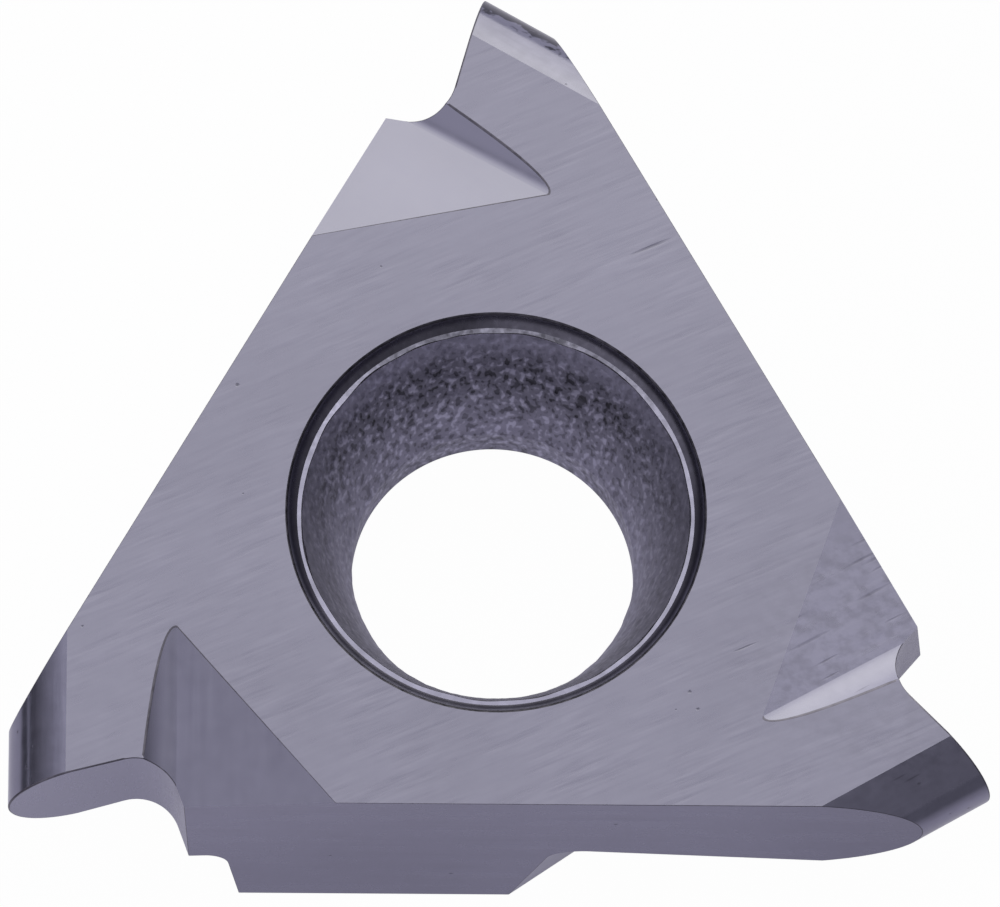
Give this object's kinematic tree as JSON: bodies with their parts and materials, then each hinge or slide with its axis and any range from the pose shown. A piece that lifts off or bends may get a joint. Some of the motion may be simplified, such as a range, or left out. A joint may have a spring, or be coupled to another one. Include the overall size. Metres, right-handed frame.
{
  "type": "grooving insert",
  "caption": "Triangular carbide grooving insert with full-radius cutting noses, ground chip notches, back relief and a flared central screw hole.",
  "frame": {"origin": "hole axis at the flat back face", "axes": "+Z along the hole axis from the back face to the ground front face; the lower side of the triangle runs along X"},
  "size_m": [0.0203, 0.0185, 0.0048],
  "materials": {
    "ground_carbide": "ground, satin"
  },
  "bodies": {
    "root": {"grooving_insert": "ground_carbide"}
  },
  "joints": []
}
